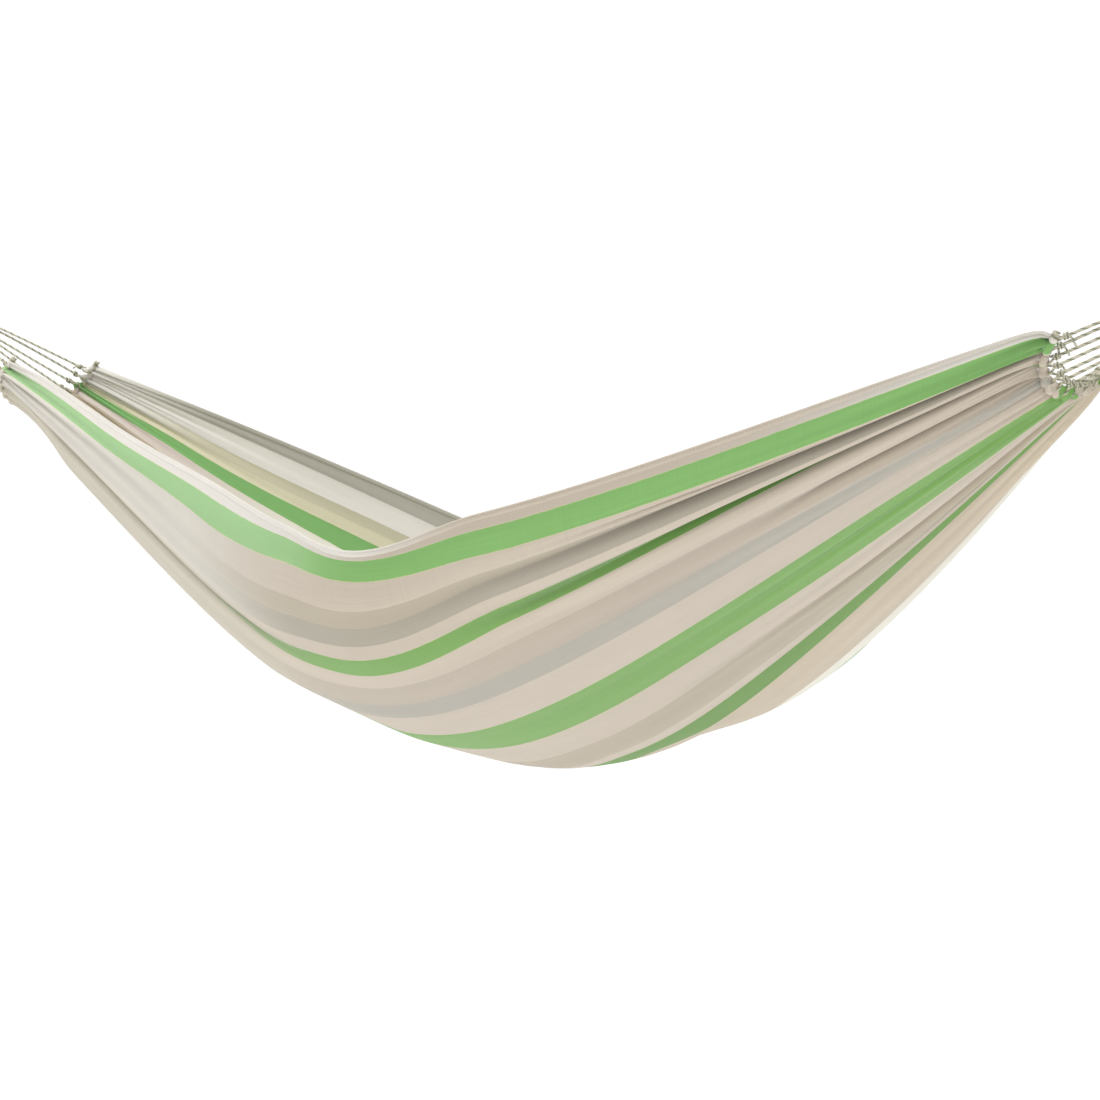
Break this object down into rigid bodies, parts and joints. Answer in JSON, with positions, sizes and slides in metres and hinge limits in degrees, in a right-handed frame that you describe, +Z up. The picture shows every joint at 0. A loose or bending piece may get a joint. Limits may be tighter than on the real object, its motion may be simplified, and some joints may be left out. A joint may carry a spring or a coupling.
{
  "type": "cloth hammock",
  "caption": "Gathered-end striped cloth hammock hung by twisted cord harnesses from a rope eye with a steel thimble at each end.",
  "frame": {"origin": "centre of the left thimble's bore, where the hammock hangs from a hook or pin", "axes": "+X from the left eye to the right eye, +Y towards the far side of the bed, +Z up"},
  "size_m": [2.7172, 1.067, 0.7296],
  "materials": {
    "striped_cloth": "woven cotton with woven-in stripes",
    "hem_cloth": "folded and stitched cotton",
    "cord": "twisted cotton cord, two tones",
    "eye_rope": "laid cotton rope",
    "whipping_twine": "tightly wound twine",
    "thimble_steel": "galvanised, dull"
  },
  "bodies": {
    "eyes": {"left_thimble": "thimble_steel", "right_thimble": "thimble_steel", "left_eye_rope": "eye_rope", "right_eye_rope": "eye_rope", "left_whipping": "whipping_twine", "right_whipping": "whipping_twine"},
    "hammock": {"bed_cloth": "striped_cloth", "near_side_hem": "hem_cloth", "far_side_hem": "hem_cloth", "left_end_hem": "hem_cloth", "right_end_hem": "hem_cloth", "left_header_cord": "cord", "right_header_cord": "cord", "left_cord_bundle": "cord", "right_cord_bundle": "cord", "left_harness_cord_01": "cord", "left_harness_cord_02": "cord", "left_harness_cord_03": "cord", "left_harness_cord_04": "cord", "left_harness_cord_05": "cord", "left_harness_cord_06": "cord", "left_harness_cord_07": "cord", "left_harness_cord_08": "cord", "left_harness_cord_09": "cord", "left_harness_cord_10": "cord", "left_harness_cord_11": "cord", "left_harness_cord_12": "cord", "left_harness_cord_13": "cord", "left_harness_cord_14": "cord", "right_harness_cord_01": "cord", "right_harness_cord_02": "cord", "right_harness_cord_03": "cord", "right_harness_cord_04": "cord", "right_harness_cord_05": "cord", "right_harness_cord_06": "cord", "right_harness_cord_07": "cord", "right_harness_cord_08": "cord", "right_harness_cord_09": "cord", "right_harness_cord_10": "cord", "right_harness_cord_11": "cord", "right_harness_cord_12": "cord", "right_harness_cord_13": "cord", "right_harness_cord_14": "cord"}
  },
  "joints": [
    {"name": "swing", "type": "hinge", "parent": "eyes", "child": "hammock", "pos_m": [0, 0, 0], "axis": [1, 0, 0], "range_deg": [-40, 40]}
  ]
}
